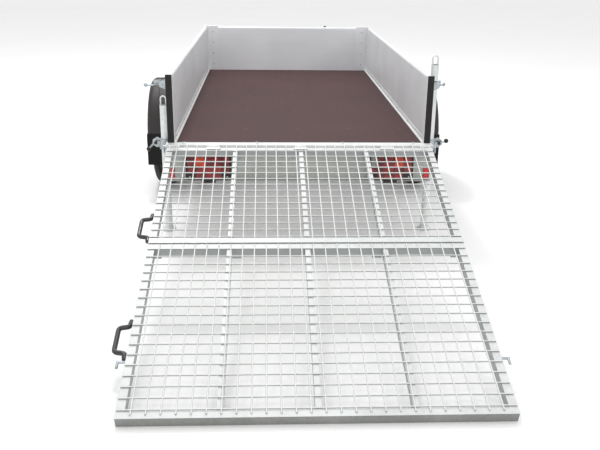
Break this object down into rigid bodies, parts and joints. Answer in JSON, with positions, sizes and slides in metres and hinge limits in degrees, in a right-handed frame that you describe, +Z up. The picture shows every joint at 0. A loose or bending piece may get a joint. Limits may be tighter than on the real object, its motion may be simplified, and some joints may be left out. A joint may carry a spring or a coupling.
{
  "type": "single-axle utility trailer with a folding mesh ramp",
  "caption": "Box trailer with aluminium boards, plywood floor, V drawbar, jockey wheel, prop legs and a two-part mesh loading ramp folded down behind.",
  "frame": {"origin": "on the ground under the middle of the whole trailer, ramp and coupling included", "axes": "+X to the right seen from behind, +Y forward to the drawbar, +Z up"},
  "size_m": [1.824, 5.4689, 0.9749],
  "materials": {
    "plywood_floor": "phenolic-faced plywood, fine anti-slip print",
    "galvanised_steel": "hot-dip galvanised, satin",
    "anodised_aluminium": "satin anodised hollow boards",
    "bare_aluminium": "mill finish trim",
    "black_plastic": "moulded black plastic",
    "mudguard_plastic": "moulded black plastic, fine grain",
    "coupling_steel": "zinc-plated pressed steel, dull",
    "red_grip": "red dipped grip",
    "lamp_lens": "clear red and orange lens",
    "reflector_red": "red reflex reflector",
    "zinc_plate": "bright zinc plate",
    "leg_steel": "galvanised tube",
    "tyre_rubber": "black tread rubber",
    "wheel_steel": "silver-painted pressed steel",
    "jockey_rubber": "solid rubber tyre on a plastic hub",
    "ramp_steel": "bright new galvanising"
  },
  "bodies": {
    "chassis": {"floor_panel": "plywood_floor", "left_side_rail": "galvanised_steel", "right_side_rail": "galvanised_steel", "cross_members": "galvanised_steel", "rear_beam": "galvanised_steel", "lamp_plate": "galvanised_steel", "left_side_board": "anodised_aluminium", "right_side_board": "anodised_aluminium", "front_board": "anodised_aluminium", "left_front_corner": "anodised_aluminium", "right_front_corner": "anodised_aluminium", "left_rear_strip": "black_plastic", "right_rear_strip": "black_plastic", "floor_trims": "bare_aluminium", "left_drawbar_arm": "galvanised_steel", "right_drawbar_arm": "galvanised_steel", "drawbar_nose": "galvanised_steel", "coupling_head": "coupling_steel", "coupling_lever": "red_grip", "axle_beam": "galvanised_steel", "left_axle_arm": "galvanised_steel", "right_axle_arm": "galvanised_steel", "left_mudguard": "mudguard_plastic", "right_mudguard": "mudguard_plastic", "mudguard_brackets": "galvanised_steel", "left_tail_lamp": "black_plastic", "right_tail_lamp": "black_plastic", "lamp_lenses": "lamp_lens", "rear_reflectors": "reflector_red", "left_leg_clamp": "zinc_plate", "right_leg_clamp": "zinc_plate", "left_ramp_latch": "zinc_plate", "right_ramp_latch": "zinc_plate", "jockey_clamp": "galvanised_steel", "jockey_stem": "zinc_plate", "ramp_hinge_pins": "zinc_plate"},
    "left_wheel": {"left_tyre": "tyre_rubber", "left_rim": "wheel_steel", "left_hub": "coupling_steel"},
    "right_wheel": {"right_tyre": "tyre_rubber", "right_rim": "wheel_steel", "right_hub": "coupling_steel"},
    "left_leg": {"left_leg": "leg_steel"},
    "right_leg": {"right_leg": "leg_steel"},
    "jockey_tube": {"jockey_inner_tube": "zinc_plate"},
    "jockey_caster": {"jockey_fork": "zinc_plate"},
    "jockey_roller": {"jockey_wheel": "jockey_rubber"},
    "upper_ramp": {"upper_ramp_frame": "ramp_steel", "upper_ramp_mesh": "ramp_steel", "upper_ramp_handle": "black_plastic", "fold_hinge_pins": "zinc_plate"},
    "lower_ramp": {"lower_ramp_frame": "ramp_steel", "lower_ramp_mesh": "ramp_steel", "lower_ramp_handle": "black_plastic", "ramp_hooks": "zinc_plate"}
  },
  "joints": [
    {"name": "left_wheel_spin", "type": "hinge", "parent": "chassis", "child": "left_wheel", "pos_m": [-0.8225, 0.10912, 0.289], "axis": [1, 0, 0], "continuous": true},
    {"name": "right_wheel_spin", "type": "hinge", "parent": "chassis", "child": "right_wheel", "pos_m": [0.8225, 0.10912, 0.289], "axis": [1, 0, 0], "continuous": true},
    {"name": "left_leg_slide", "type": "slide", "parent": "chassis", "child": "left_leg", "axis": [0, 0, 1], "range_m": [0, 0.4]},
    {"name": "right_leg_slide", "type": "slide", "parent": "chassis", "child": "right_leg", "axis": [0, 0, 1], "range_m": [0, 0.4]},
    {"name": "jockey_slide", "type": "slide", "parent": "chassis", "child": "jockey_tube", "axis": [0, 0, 1], "range_m": [-0.1, 0.15]},
    {"name": "jockey_swivel", "type": "hinge", "parent": "jockey_tube", "child": "jockey_caster", "pos_m": [0.24726, 2.14712, 0.226], "axis": [0, 0, 1], "continuous": true},
    {"name": "jockey_wheel_spin", "type": "hinge", "parent": "jockey_caster", "child": "jockey_roller", "pos_m": [0.24726, 2.10712, 0.1], "axis": [1, 0, 0], "continuous": true},
    {"name": "ramp_hinge", "type": "hinge", "parent": "chassis", "child": "upper_ramp", "pos_m": [0, -1.09329, 0.54009], "axis": [-1, 0, 0], "range_deg": [0, 107]},
    {"name": "ramp_fold", "type": "hinge", "parent": "upper_ramp", "child": "lower_ramp", "pos_m": [0, -1.83889, 0.26351], "axis": [1, 0, 0], "range_deg": [0, 180]}
  ],
  "couplings": [
    {"joint": "ramp_fold", "follows": "ramp_hinge", "ratio": 1.68}
  ]
}
